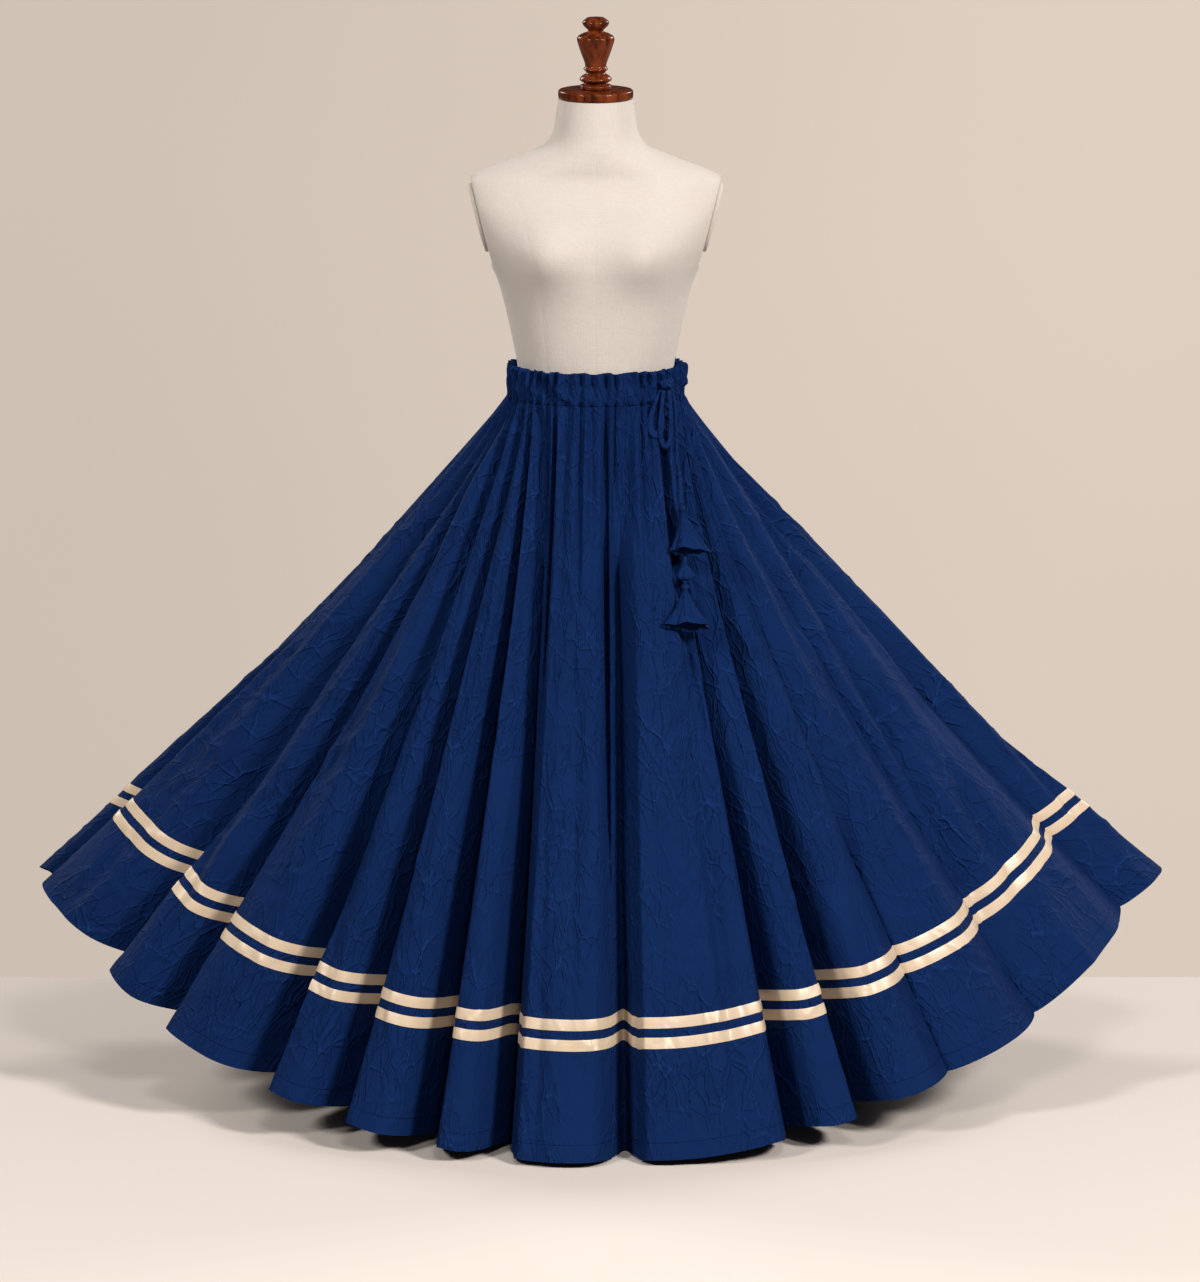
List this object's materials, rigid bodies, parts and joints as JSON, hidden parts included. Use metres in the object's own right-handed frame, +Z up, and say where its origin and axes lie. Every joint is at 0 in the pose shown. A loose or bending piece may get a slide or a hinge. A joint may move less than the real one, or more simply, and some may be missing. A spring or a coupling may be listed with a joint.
{
  "type": "maxi skirt on a dress form",
  "caption": "Full-length gored skirt with a gathered drawstring waist, tasselled ties and ribbon bands near the hem, worn on a limbless dress form on a pole and round base.",
  "frame": {"origin": "centre of the round base's underside, on the floor under the form's neck", "axes": "+Z up along the pole; the front of the skirt faces -Y; +X is at the right of someone who faces the front"},
  "size_m": [1.6407, 0.9409, 1.5633],
  "materials": {
    "cotton": "crushed woven cotton with a slight sheen",
    "gold_ribbon": "satin ribbon",
    "linen": "cream linen stretched over the form",
    "turned_wood": "dark polished wood",
    "stand_steel": "plain satin metal"
  },
  "bodies": {
    "root": {"gore_01": "cotton", "gore_02": "cotton", "gore_03": "cotton", "gore_04": "cotton", "gore_05": "cotton", "gore_06": "cotton", "gore_07": "cotton", "gore_08": "cotton", "gore_09": "cotton", "gore_10": "cotton", "gore_11": "cotton", "gore_12": "cotton", "gore_13": "cotton", "gore_14": "cotton", "gore_15": "cotton", "gore_16": "cotton", "gore_17": "cotton", "gore_18": "cotton", "gore_19": "cotton", "gore_20": "cotton", "gore_21": "cotton", "gore_22": "cotton", "gore_23": "cotton", "waist_casing": "cotton", "drawstring_knot": "cotton", "bow_loop_left": "cotton", "bow_loop_right": "cotton", "drawstring_end_upper": "cotton", "drawstring_end_lower": "cotton", "tassel_upper": "cotton", "tassel_bud": "cotton", "tassel_lower": "cotton", "ribbon_upper": "gold_ribbon", "ribbon_lower": "gold_ribbon", "form_torso": "linen", "armhole_plate_left": "linen", "armhole_plate_right": "linen", "neck_disc": "turned_wood", "finial": "turned_wood", "stand_base": "stand_steel", "stand_pole": "stand_steel"}
  },
  "joints": []
}
